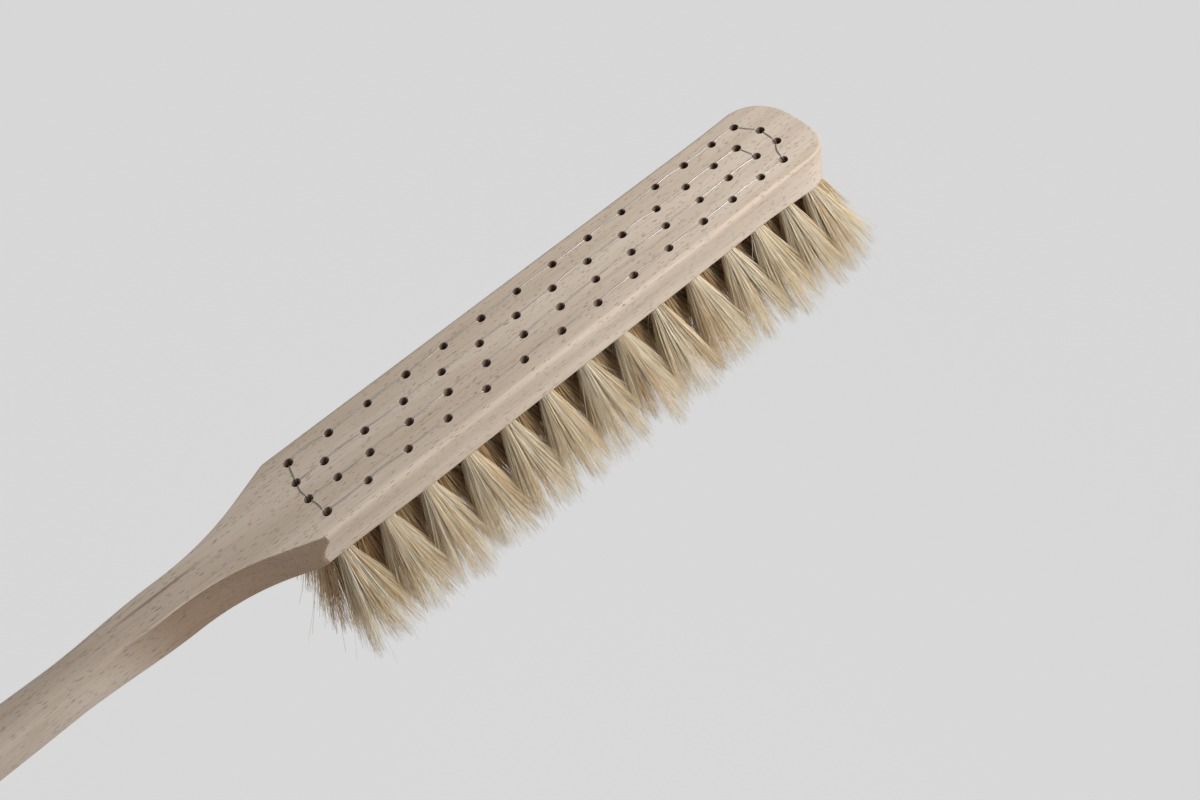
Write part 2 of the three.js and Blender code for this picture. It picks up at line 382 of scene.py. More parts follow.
# %% Beech figure group
WANDER_CELL = (0.09, 0.05, 0.05)
WANDER = 0.0035
BROAD_CELL = (0.16, 0.011, 0.011)
STREAK_CELL = (0.022, 0.00055, 0.00055)
# length and width of a layer's cells, its shift, and where a dash is full and where it ends
FLECK_LAYERS = (
    (0.0048, 0.00080, 0.0, 0.13, 0.23),
    (0.0038, 0.00066, 3.7, 0.13, 0.24),
    (0.0062, 0.00092, 8.1, 0.11, 0.20),
)


def fleck_layer(group, grain, length, width, shift, full, end):
    """One layer of dashes: 1 within full of a cell's middle, 0 beyond end, times the cell's own luck."""
    vector = stretched(group, grain, length, width, width, (shift, shift, shift))
    cell = add(
        group, "ShaderNodeTexVoronoi", settings={"feature": "F1", "voronoi_dimensions": "3D"},
        Vector=vector, Scale=1.0, Randomness=1.0,
    )
    luck = add(group, "ShaderNodeSeparateColor", Color=cell.outputs["Color"]).outputs[0]
    shape = ramp(group, cell.outputs["Distance"], full, end, 1.0, 0.0)
    return arithmetic(group, "MULTIPLY", shape, ramp(group, luck, 0.15, 0.75))


def beech_group():
    """Colour and height of planed beech. The grain runs along X."""
    number = "NodeSocketFloat"
    group, inside, outside = new_group(
        "beech_figure",
        [
            ("Vector", "NodeSocketVector", None),
            ("Pale", "NodeSocketColor", (0.67, 0.57, 0.475, 1)),
            ("Deep", "NodeSocketColor", (0.57, 0.465, 0.37, 1)),
            ("Fleck", "NodeSocketColor", (0.25, 0.17, 0.115, 1)),
            ("Fleck Strength", number, 0.80),
            ("Streak Strength", number, 0.35),
        ],
        [("Color", "NodeSocketColor"), ("Height", number), ("Roughness", number)],
    )
    place = inside.outputs["Vector"]
    # the grain wanders a little from side to side on its way along the board
    wander = noise(group, stretched(group, place, *WANDER_CELL), 1.0)["Color"]
    scaling = {"operation": "SCALE"}
    bend = add(group, "ShaderNodeVectorMath", settings=scaling, in_0=wander, Scale=WANDER)
    grain = vector_step(group, "ADD", place, bend.outputs[0])["Vector"]

    broad = noise(group, stretched(group, grain, *BROAD_CELL), 3.0)[0]
    streak = noise(group, stretched(group, grain, *STREAK_CELL), 3.0)[0]
    tone = mixed(group, ramp(group, broad, 0.32, 0.70), inside.outputs["Pale"], inside.outputs["Deep"])
    streaked = arithmetic(
        group, "MULTIPLY", ramp(group, streak, 0.45, 0.75), inside.outputs["Streak Strength"]
    )
    tone = mixed(group, streaked, tone, inside.outputs["Deep"], "MULTIPLY")

    layers = [fleck_layer(group, grain, *layer) for layer in FLECK_LAYERS]
    flecks = layers[0]
    for layer in layers[1:]:
        flecks = arithmetic(group, "MAXIMUM", flecks, layer)
    strength = arithmetic(group, "MULTIPLY", flecks, inside.outputs["Fleck Strength"])
    colour = mixed(group, strength, tone, inside.outputs["Fleck"])

    height = arithmetic(group, "MULTIPLY", streak, 0.35)
    height = arithmetic(group, "SUBTRACT", height, arithmetic(group, "MULTIPLY", flecks, 0.4))
    rough = ramp(group, flecks, 0.0, 1.0, 0.56, 0.68)
    group.links.new(colour, outside.inputs["Color"])
    group.links.new(height, outside.inputs["Height"])
    group.links.new(rough, outside.inputs["Roughness"])
    return group


beech_figure = beech_group()
print("beech figure has", len(beech_figure.nodes), "nodes")

# %% [markdown]
# The board's material places the figure on Object coordinates, so that it runs through the board as
# real grain does, and adds what only this board has: a long thin brown streak where the grain opens
# on the neck. It also paints shade: dark brown on the hole walls, and a darker, warmer tone on the
# flanks of the neck.

# %% Board material
STREAK_PLACE = (first_tuft_x - 0.055, 0.002, 0.052)
STREAK_HALF = (0.024, 0.0009, 0.004)
STREAK_BROWN = (0.22, 0.15, 0.10, 1)
STREAK_SHARE = 0.7
# painted shade: the dark brown that the hole walls show in their own shadow
HOLE_SHADE_BROWN = (0.17, 0.10, 0.065, 1)
HOLE_SHADE_SHARE = 0.75
# painted shade: the neck's flanks are multiplied by this tone, darker and warmer, as they look in shade
FLANK_SHADE_TONE = (0.54, 0.44, 0.36, 1)


def beech_material():
    """Sanded, untreated beech."""
    material, tree, shader = new_material("sanded_beech")
    place = add(tree, "ShaderNodeTexCoord").outputs["Object"]
    figure = add(tree, "ShaderNodeGroup", settings={"node_tree": beech_figure}, Vector=place)
    # distance from the middle of the streak, in units of its half length, width and depth
    offset = vector_step(tree, "SUBTRACT", place, STREAK_PLACE)["Vector"]
    scaled = vector_step(tree, "DIVIDE", offset, STREAK_HALF)["Vector"]
    away = add(tree, "ShaderNodeVectorMath", settings={"operation": "LENGTH"}, in_0=scaled)
    streak = ramp(tree, away.outputs["Value"], 0.2, 1.0, STREAK_SHARE, 0.0)
    colour = mixed(tree, streak, figure.outputs["Color"], STREAK_BROWN)
    # painted shade on the hole walls
    painted_hole_shade = arithmetic(tree, "MULTIPLY", point_value(tree, "painted_hole_shade"), HOLE_SHADE_SHARE)
    colour = mixed(tree, painted_hole_shade, colour, HOLE_SHADE_BROWN)
    # painted shade on the neck's flanks, by the number kept as "sawn"
    colour = mixed(tree, point_value(tree, "sawn"), colour, FLANK_SHADE_TONE, "MULTIPLY")
    tree.links.new(colour, shader.inputs["Base Color"])
    tree.links.new(figure.outputs["Roughness"], shader.inputs["Roughness"])
    bump = add(tree, "ShaderNodeBump", Strength=0.35, Distance=0.00012, Height=figure.outputs["Height"])
    tree.links.new(bump.outputs[0], shader.inputs["Normal"])
    shader.inputs["Specular IOR Level"].default_value = 0.35
    return material


sanded_beech = beech_material()
print("board's finish has", len(sanded_beech.node_tree.nodes), "nodes")

# %% [markdown]
# ## The board
# A maker saws the outline, moulds the long edges of the head, and rounds the handle to fit the hand.
# The surface copies that: an outline of lines, arcs and superellipses, and a profile that is carried
# round it. The outline comes first. Its left and right halves differ only in how square the nose is.

# %% Board outline
SHOULDER_SETBACK = 5.0 * MM
SHOULDER_ANGLE = math.radians(22.8)
CORNER_RADIUS = 3.0 * MM
NECK_RADIUS = 80.0 * MM
HANDLE_HALF = 6.9 * MM
HANDLE_END_HALF = 8.2 * MM
NOSE_DEPTH = 17.0 * MM
LEFT_FULLNESS = 2.3
RIGHT_FULLNESS = 3.5
END_STEPS, STRETCH_STEPS, CORNER_STEPS, NOSE_STEPS = 24, 60, 8, 80
# the flank's points stand a little closer together towards the corner
FLANK_SPACING = 0.8

half_head = board_high[1]
nose_x, end_x = board_high[0], board_low[0]
corner_x = first_tuft_x - SHOULDER_SETBACK
arc_drop = NECK_RADIUS * (1 - math.cos(SHOULDER_ANGLE))
straight_drop = half_head - HANDLE_HALF - arc_drop
neck_x = corner_x - straight_drop / math.tan(SHOULDER_ANGLE) - NECK_RADIUS * math.sin(SHOULDER_ANGLE)


def half_outline(fullness):
    """Half of the outline, from the end of the handle to the tip of the nose.

    A quarter circle, the handle's slow taper, the inward arc of the neck, the straight flank, a small
    arc at the corner, the straight side, and a superellipse: x and y are the cosine and sine of the
    angle, each raised to two over the fullness."""
    turn = np.linspace(0, np.pi / 2, END_STEPS)
    end = [end_x + HANDLE_END_HALF * (1 - np.cos(turn)), HANDLE_END_HALF * np.sin(turn)]
    along = np.linspace(0, 1, STRETCH_STEPS)[1:]
    handle_x = end_x + HANDLE_END_HALF
    handle = [
        handle_x + (neck_x - handle_x) * along,
        HANDLE_END_HALF + (HANDLE_HALF - HANDLE_END_HALF) * ease(along),
    ]
    angle = np.linspace(0, SHOULDER_ANGLE, STRETCH_STEPS)[1:]
    neck = [neck_x + NECK_RADIUS * np.sin(angle), HANDLE_HALF + NECK_RADIUS * (1 - np.cos(angle))]
    tangent = CORNER_RADIUS * math.tan(SHOULDER_ANGLE / 2)
    start = np.array([neck[0][-1], neck[1][-1]])
    stop = np.array([corner_x, half_head])
    stop -= tangent * np.array([math.cos(SHOULDER_ANGLE), math.sin(SHOULDER_ANGLE)])
    step = np.linspace(0, 1, STRETCH_STEPS)[1:, None] ** FLANK_SPACING
    flank = (start + (stop - start) * step).T
    angle = np.linspace(SHOULDER_ANGLE, 0, CORNER_STEPS)[1:]
    corner = [
        corner_x + tangent - CORNER_RADIUS * np.sin(angle),
        half_head - CORNER_RADIUS * (1 - np.cos(angle)),
    ]
    along = np.linspace(0, 1, STRETCH_STEPS)[1:]
    side_x = corner_x + tangent
    side = [side_x + (nose_x - NOSE_DEPTH - side_x) * along, np.full(len(along), half_head)]
    turn = np.linspace(np.pi / 2, 0, NOSE_STEPS)[1:]
    power = 2 / fullness
    nose = [
        nose_x - NOSE_DEPTH + NOSE_DEPTH * np.cos(turn) ** power,
        half_head * np.sin(turn) ** power,
    ]
    nose[0][-1], nose[1][-1] = nose_x, 0.0
    parts = [end, handle, neck, flank, corner, side, nose]
    return np.concatenate([np.stack(part, -1) for part in parts])


left_half = half_outline(LEFT_FULLNESS)
right_half = half_outline(RIGHT_FULLNESS) * [1, -1]
outline = np.concatenate([left_half, right_half[1:-1][::-1]])
ahead = np.roll(outline, -1, 0) - np.roll(outline, 1, 0)
outward = np.stack([-ahead[:, 1], ahead[:, 0]], -1)
outward /= np.linalg.norm(outward, axis=1, keepdims=True)
print("outline of", len(outline), "points, neck begins at", neck_x, "corner at", corner_x)

# %% [markdown]
# The profile says how far the side stands in at each depth. On the head it has a soft upper edge and
# draws in a little towards the hair; on the sawn neck the edges stay nearly sharp; on the handle they
# are round. Where the saw cut passes through the moulded side, the deeper of the two insets wins, and
# so the side of the head ends in a tongue that leans towards the handle. A hand tool wavers, so the
# walls do too, by a tenth of a millimetre or so.

# %% Board surface
HEAD_EDGE = 1.9 * MM
LOWER_EDGE = 1.1 * MM
SIDE_DRAW = 1.4 * MM
SHOULDER_DRAW = 0.7 * MM
NOSE_EDGE = 0.9 * MM
NECK_EDGE = 0.4 * MM
HANDLE_EDGE = 5.2 * MM
HAND_WAVER = 0.04 * MM
# where the nose's, the shoulder's and the handle's own edges fade in, and over which length
NOSE_FADE_START, NOSE_FADE = 34 * MM, 26 * MM
SHOULDER_FADE = 40 * MM
HANDLE_FADE_START, HANDLE_FADE = 43 * MM, 40 * MM
DRAW_DEPTH = 0.7
LEAST_ACROSS = 0.25
DEPTHS = 34
EDGE_CROWDING = 0.35
RIM_RING = 0.5 * MM


def rounding(depth, radius):
    """How far a round edge stands in at a depth: the radius less half of the chord there."""
    up = np.clip(radius - depth, 0, None)
    return radius - np.sqrt(np.clip(radius ** 2 - up ** 2, 0, None))


def side_insets(depth, thickness):
    """How far the side stands in, for each point of the outline at each depth.

    Moulded: the two roundings plus the draw, less how far the outline has left the head's side, over
    the outline's turn towards that side. Sawn: the two roundings only. The larger one holds, plus
    three sine waves of the place, times a half wave over the depth, for the tool's waver."""
    x, y = outline[:, :1], np.abs(outline[:, 1:])
    at_nose = ease((x - nose_x + NOSE_FADE_START) / NOSE_FADE)
    at_shoulder = 1 - ease((x - corner_x) / SHOULDER_FADE)
    edge = HEAD_EDGE + (NOSE_EDGE - HEAD_EDGE) * at_nose
    draw = (SIDE_DRAW + SHOULDER_DRAW * at_shoulder) * (1 - at_nose)
    moulded = rounding(depth, edge) + draw * ease((depth - edge / 2) / (thickness * DRAW_DEPTH))
    moulded = moulded + rounding(thickness - depth, LOWER_EDGE)
    across = np.clip(np.abs(outward[:, 1:]), LEAST_ACROSS, 1)
    moulded = (moulded - (half_head - y)) / across
    on_handle = 1 - ease((x - neck_x + HANDLE_FADE_START) / HANDLE_FADE)
    edge = NECK_EDGE + (HANDLE_EDGE - NECK_EDGE) * on_handle + (NOSE_EDGE - NECK_EDGE) * at_nose
    sawn = rounding(depth, edge) + rounding(thickness - depth, edge)
    waver = np.sin(x * 83) + 0.6 * np.sin(x * 191 + 1.3) + 0.5 * np.sin(y * 900 + x * 40)
    hand = HAND_WAVER * (waver + 2.1) * np.sin(np.pi * depth / thickness)
    return np.maximum(moulded, sawn) + hand


def board_mesh():
    """The board without its holes: the outline moved inwards by the inset at each depth.

    The depths follow a cosine, times its own size to a small power, so they crowd at both edges."""
    thickness = BACK - UNDERSIDE
    t = np.linspace(0, np.pi, DEPTHS)
    depth = thickness * (0.5 - 0.5 * np.cos(t) * np.abs(np.cos(t)) ** EDGE_CROWDING)[None, :]
    inset = side_insets(depth, thickness)
    flat = outline[:, None, :] - outward[:, None, :] * inset[:, :, None]
    z = np.broadcast_to(BACK - depth, inset.shape)
    walls = np.concatenate([flat, z[:, :, None]], -1)
    # one more ring on the back and on the underside keeps the flat faces flat under smooth shading
    rim = []
    for column in (0, -1):
        ring = outline - outward * (inset[:, column, None] + RIM_RING)
        rim.append(np.concatenate([ring, z[:, column, None]], -1)[:, None])
    grid = np.concatenate([rim[0], walls, rim[1]], 1)
    rings = grid.shape[1]
    points = grid.transpose(1, 0, 2).reshape(-1, 3)
    count = len(outline)
    top = np.arange(count)
    bottom = (np.arange(count) + (rings - 1) * count)[::-1]
    # the outline runs clockwise seen from above, so the caps are turned to face out
    return mesh_with_caps("board", points, tube_quads(rings, count), [top[::-1], bottom[::-1]])


board = bpy.data.objects.new("board_blank", board_mesh())
bpy.context.scene.collection.objects.link(board)
print("blank has", len(board.data.polygons), "faces")

# %% [markdown]
# ## The holes
# Each hole is a wide bore from below for the hair and a narrow one from the back for the wire, with
# its rim broken by a small chamfer. One plug has that shape: a profile of radii and heights turned
# round an axis that slants as the drill did. A hand drill never hits its mark quite, so each plug is
# nudged by about a tenth of a millimetre.

# %% Hole plugs
WIRE_HOLE = 1.55 * MM
BORE = 2.45 * MM
RIM_CHAMFER = 0.22 * MM
HOLE_SIDES = 28
HOLE_NUDGE = 0.06 * MM
HOLE_SPREAD = 0.03
FOLD_ROOM = 0.3 * MM
SHOULDER_CONE = 0.8 * MM
PLUG_SPARE = 1.0 * MM
chance = np.random.default_rng(4)
for tuft in tufts:
    tuft["hole"] = tuft["place"] + chance.normal(0, HOLE_NUDGE, 2)
    tuft["hole_radius"] = WIRE_HOLE * (1 + chance.normal(0, HOLE_SPREAD))


def hole_at(tuft, z):
    """The middle of a hole at a height: its place on the back plus the slant times the drop."""
    drop = BACK - np.asarray(z)[..., None]
    return tuft["hole"] + tuft["tilt"] * drop


def plug_mesh():
    """Every hole's plug: rings of radius r at height z, turned through a full circle and slanted."""
    shoulder = tufts[0]["fold"] + FOLD_ROOM
    bottom, top = UNDERSIDE - PLUG_SPARE, BACK + PLUG_SPARE
    heights = np.array([bottom, shoulder, shoulder + SHOULDER_CONE, BACK - RIM_CHAMFER, top])
    rings = len(heights)
    angle = np.linspace(0, 2 * np.pi, HOLE_SIDES, endpoint=False)
    circle = np.stack([np.cos(angle), np.sin(angle)], -1)
    all_points, all_quads, all_caps = [], [], []
    for number, tuft in enumerate(tufts):
        radius = tuft["hole_radius"]
        radii = np.array([BORE, BORE, radius, radius, radius + RIM_CHAMFER + PLUG_SPARE])
        ring = hole_at(tuft, heights)[:, None] + circle[None] * radii[:, None, None]
        z = np.broadcast_to(heights[:, None, None], (rings, HOLE_SIDES, 1))
        first = number * rings * HOLE_SIDES
        all_points.append(np.concatenate([ring, z], -1).reshape(-1, 3))
        all_quads.append(tube_quads(rings, HOLE_SIDES, first))
        all_caps.append((first + np.arange(HOLE_SIDES))[::-1])
        all_caps.append(first + (rings - 1) * HOLE_SIDES + np.arange(HOLE_SIDES))
    return mesh_with_caps("plugs", np.concatenate(all_points), np.concatenate(all_quads), all_caps)


plugs = plug_mesh()
print("plugs:", len(tufts), "with", len(plugs.polygons), "faces")

# %% [markdown]
# All the plugs are taken out of the board in one Boolean cut. The hole walls and the flanks of the
# neck get painted shade, so the points of both are marked, each with a number of its own, and the
# board's finish reads those numbers.

# %% Cut and marks
LEVEL_MARGIN = 0.1 * MM
SHOULDER_TOP = 1.2 * MM
WIRE_HOLE_REACH, BORE_REACH = 1.15, 1.05
FLANK_SHADE_FADE = 35 * MM
FLANK_SHADE_MARGIN = 0.5 * MM
SMOOTH_BELOW = math.radians(32)


def cut(blank, tool_mesh, name):
    """The blank's mesh with the tool's shape taken out of it."""
    tool = bpy.data.objects.new("tool", tool_mesh)
    bpy.context.scene.collection.objects.link(tool)
    modifier = blank.modifiers.new("holes", "BOOLEAN")
    modifier.operation = "DIFFERENCE"
    modifier.solver = "EXACT"
    # without this the solver lost the whole board once the plugs were slanted
    modifier.use_self = True
    modifier.object = tool
    graph = bpy.context.evaluated_depsgraph_get()
    mesh = bpy.data.meshes.new_from_object(blank.evaluated_get(graph))
    mesh.name = name
    bpy.data.objects.remove(tool)
    bpy.data.objects.remove(blank)
    return mesh


def mark(mesh, name, values):
    """Keeps one number for each point of the mesh."""
    layer = mesh.attributes.new(name, "FLOAT", "POINT")
    layer.data.foreach_set("value", values.astype(np.float32))


def mark_painted_hole_shade(mesh):
    """Marks the hole walls with 1 and the rest with 0: a point is in a hole if it is within a little
    more than the hole's radius of the axis, and clear of the back and the underside."""
    points = mesh_points(mesh)
    middles = np.stack([hole_at(tuft, points[:, 2]) for tuft in tufts], 1)
    away = np.linalg.norm(points[:, None, :2] - middles, axis=2).min(1)
    z = points[:, 2]
    in_wire_hole = z > tufts[0]["fold"] + SHOULDER_TOP
    wall = np.where(in_wire_hole, WIRE_HOLE_REACH * WIRE_HOLE, BORE_REACH * BORE)
    inside = (away < wall) & (z < BACK - LEVEL_MARGIN) & (z > UNDERSIDE + LEVEL_MARGIN)
    # the hole walls get painted shade in the finish, by this number
    mark(mesh, "painted_hole_shade", inside)
    print("drilled points:", int(inside.sum()), "of", len(points))


def mark_flank_shade(mesh):
    """Marks the flanks below their upper edge with 1, fading to 0 on the handle.

    A point is on a flank if it lies within a margin of the sawn outline, not further in."""
    x, y, z = mesh_points(mesh).T
    sawn_line = np.interp(x, left_half[:, 0], left_half[:, 1])
    share = ease((x - neck_x + FLANK_SHADE_FADE) / FLANK_SHADE_FADE)
    on_flank = (x < corner_x) & (np.abs(y) > sawn_line - FLANK_SHADE_MARGIN) & (z < BACK - FLANK_SHADE_MARGIN)
    # the flanks get painted shade in the finish, by this number
    mark(mesh, "sawn", np.where(on_flank & (z > UNDERSIDE + LEVEL_MARGIN), share, 0))


board_cut = cut(board, plugs, "beech_board")
mark_painted_hole_shade(board_cut)
mark_flank_shade(board_cut)
board_cut.materials.clear()
smooth(board_cut)
board_cut.set_sharp_from_angle(angle=SMOOTH_BELOW)
show("beech_board", board_cut, sanded_beech, "beech", "beech_block")
print("board has", len(board_cut.polygons), "faces after the cut")

# %% [markdown]
# ## The draw wire
# One bright steel wire is laced through all the holes. Between two holes it lies on the wood, bowed a
# little to one side; at each hole it bends over the rim and dives to the fold of the tuft. Its path is
# built span by span, in one order of holes from the wire's start to its end.

# %% Wire path
WIRE_RADIUS = 0.19 * MM
WIRE_SIDES = 8
SPAN_STEPS = 12
BEND_STEPS = 5
BEND_RADIUS = 0.5 * MM
WALL_CLEARANCE = 1.2
LIE_HEIGHT = 0.85
FOLD_HOOK = 1.0 * MM
RISE = 0.10 * MM
SWAY = 0.22 * MM
BOW_MIDDLE, BOW_SPREAD = 0.22, 0.16
TUFTS_IN_ROW = 14


def numbered(row):
    """The names of one row's tufts, from the handle to the nose."""
    return [f"tuft_{row}_{i:02d}" for i in range(1, TUFTS_IN_ROW + 1)]


LACING = (
    ["tuft_midleft_01", "tuft_midright_01"] + numbered("right") + ["tuft_nose_right", "tuft_nose_left"]
    + numbered("left")[::-1] + numbered("midleft") + numbered("midright")[::-1]
)


def span_path(a, b, side):
    """The wire from the fold in hole a to the fold in hole b.

    Both legs stand at the rims that face each other. Over the rim the path turns a quarter circle.
    Between the rims it bows sideways and upwards by half a sine wave."""
    start, stop = a["hole"], b["hole"]
    length = np.linalg.norm(stop - start)
    along = (stop - start) / length
    across = np.array([-along[1], along[0]])
    reach = [hole["hole_radius"] - WIRE_RADIUS * WALL_CLEARANCE for hole in (a, b)]
    sway = chance.normal(0, SWAY, 2)
    bow = side * abs(chance.normal(BOW_MIDDLE, BOW_SPREAD)) * MM
    rest = BACK + WIRE_RADIUS * LIE_HEIGHT
    bend = BEND_RADIUS
    fold = a["fold"] + FOLD_HOOK
    quarter = np.linspace(0, np.pi / 2, BEND_STEPS)
    up_s = reach[0] + bend * (1 - np.cos(quarter))
    up_z = rest - bend + bend * np.sin(quarter)
    t = np.linspace(0, 1, SPAN_STEPS + 2)[1:-1]
    first, last = reach[0] + bend, length - reach[1] - bend
    run_s = first + (last - first) * t
    run_z = rest + RISE * np.sin(np.pi * t)
    down_s = length - reach[1] - bend * (1 - np.cos(quarter[::-1]))
    down_z = rest - bend + bend * np.sin(quarter[::-1])
    s = np.concatenate([[reach[0]], up_s, run_s, down_s, [length - reach[1]]])
    z = np.concatenate([[fold], up_z, run_z, down_z, [fold]])
    share = np.clip((s - reach[0]) / (length - reach[0] - reach[1]), 0, 1)
    aside = sway[0] * (1 - share) + sway[1] * share + bow * np.sin(np.pi * share)
    flat = start + s[:, None] * along + aside[:, None] * across
    # inside the holes the legs follow the slant
    tilt = np.where(share[:, None] < 0.5, a["tilt"], b["tilt"])
    flat = flat + tilt * np.clip(BACK - z, 0, None)[:, None]
    level = np.broadcast_to(np.append(across, 0), (len(s), 3))
    return np.concatenate([flat, z[:, None]], -1), level


spans = [
    span_path(by_name[a], by_name[b], 1 if i % 2 else -1)
    for i, (a, b) in enumerate(zip(LACING[:-1], LACING[1:]))
]
print(len(spans), "spans of wire join", len(set(LACING)), "holes")

# %% [markdown]
# The wire's round section is carried along the path on two directions that are square to it: one
# level, one not. Drawn steel is bright, but the pull over the rims leaves it dull in places.

# %% Wire and its finish


def wire_mesh():
    """All the spans in one tube: centre plus radius times (level cosine plus upright sine)."""
    path = np.concatenate([points for points, level in spans])
    level = np.concatenate([level for points, level in spans])
    forward = np.gradient(path, axis=0)
    forward /= np.linalg.norm(forward, axis=1, keepdims=True)
    level = level - forward * (level * forward).sum(1, keepdims=True)
    level /= np.linalg.norm(level, axis=1, keepdims=True)
    upright = np.cross(forward, level)
    angle = np.linspace(0, 2 * np.pi, WIRE_SIDES, endpoint=False)[None, :, None]
    around = level[:, None] * np.cos(angle) + upright[:, None] * np.sin(angle)
    points = (path[:, None] + WIRE_RADIUS * around).reshape(-1, 3)
    rings = len(path)
    start_cap = np.arange(WIRE_SIDES)[::-1]
    end_cap = (rings - 1) * WIRE_SIDES + np.arange(WIRE_SIDES)
    quads = tube_quads(rings, WIRE_SIDES)
    mesh = mesh_with_caps("draw_wire_drawn", points, quads, [start_cap, end_cap])
    smooth(mesh)
    return mesh


def steel_material():
    """Bright drawn wire with faint dull patches, placed by chance."""
    material, tree, shader = new_material("drawn_steel")
    place = add(tree, "ShaderNodeTexCoord").outputs["Object"]
    patch = noise(tree, place, 2.0, 70.0)[0]
    colour = mixed(tree, ramp(tree, patch, 0.4, 0.7), (0.62, 0.60, 0.575, 1), (0.46, 0.44, 0.42, 1))
    tree.links.new(colour, shader.inputs["Base Color"])
    tree.links.new(ramp(tree, patch, 0.35, 0.75, 0.48, 0.70), shader.inputs["Roughness"])
    shader.inputs["Metallic"].default_value = 1.0
    return material


wire_piece = show("laced_wire", wire_mesh(), steel_material(), "steel_wire", "draw_wire")
print("wire has", len(wire_piece.data.polygons), "faces")

# %% [markdown]
# ## Hair
# A tuft is some hundreds of hairs. Each one starts at the fold, leaves the bore along its slant, and
# then spreads: outwards from the middle of the tuft, and over to the side that the whole tuft leans to.
# Hairs stick together in locks, so each is drawn towards its lock on the way down. Every hair ends at
# its own length, a few stray far from the others, and all of them bend a little. The centre lines of
# all hairs of a tuft are computed at once, as an array of hair by ring by coordinate.

# %% Hair paths
HAIRS = 800
BUNDLE_RADIUS = 2.4 * MM
FAN = 0.31
INNER_FAN = 0.43
MOST_SLOPE = 0.78
LOCKS = 22
LOCK_AREA = 0.97
RIM_CROWDING = 0.36
GATHER = 0.28
INNER_GATHER = 0.10
GATHER_SPEED = 1.3
SLOPE_CHANCE = 0.02
STRAY_SHARE = 0.045
STRAY_SLOPE, MOST_STRAY_SLOPE = 0.11, 0.2
STRAY_CURL = 2.5
HAIR_CURL, LOCK_CURL, MOST_CURL = 1.2 * MM, 0.9 * MM, 3.3 * MM
CURL_POWER = 2.2
WAVE = 0.4 * MM
CUT_SPREAD, SHORT_MOST, SHORT_RARITY, SHORTEST = 0.035, 0.16, 7, 0.38
SLOPE_SHORTENS = 0.25
SPREAD_START = 2.0 * MM
FOLD_DEPTH, FOLD_ROUND, FOLD_SHARE = 0.5 * MM, 1.5 * MM, 0.62
DROP_SHARES = np.array([0.0, 0.13, 0.32, 0.55, 0.79, 1.0])


def is_inner(tuft):
    """Whether a tuft stands in one of the two inner rows."""
    return "mid" in tuft["name"]


def disk(random, count):
    """Random points on a unit disk: a random number to a power as radius, and any angle. A power of
    one half would spread them evenly; the lower one used here crowds them towards the rim."""
    radius = random.random(count) ** RIM_CROWDING
    angle = random.random(count) * 2 * np.pi
    return np.stack([radius * np.cos(angle), radius * np.sin(angle)], -1)


def hair_lengths(random):
    """Length of the drop of each hair: most end near the cut, a few well short of it.

    The share that is missing is half a bell curve, plus a random number to a high power."""
    short = CUT_SPREAD * np.abs(random.normal(0, 1, HAIRS))
    short = short + SHORT_MOST * random.random(HAIRS) ** SHORT_RARITY
    return UNDERSIDE * (1 - np.clip(short, 0, SHORTEST))


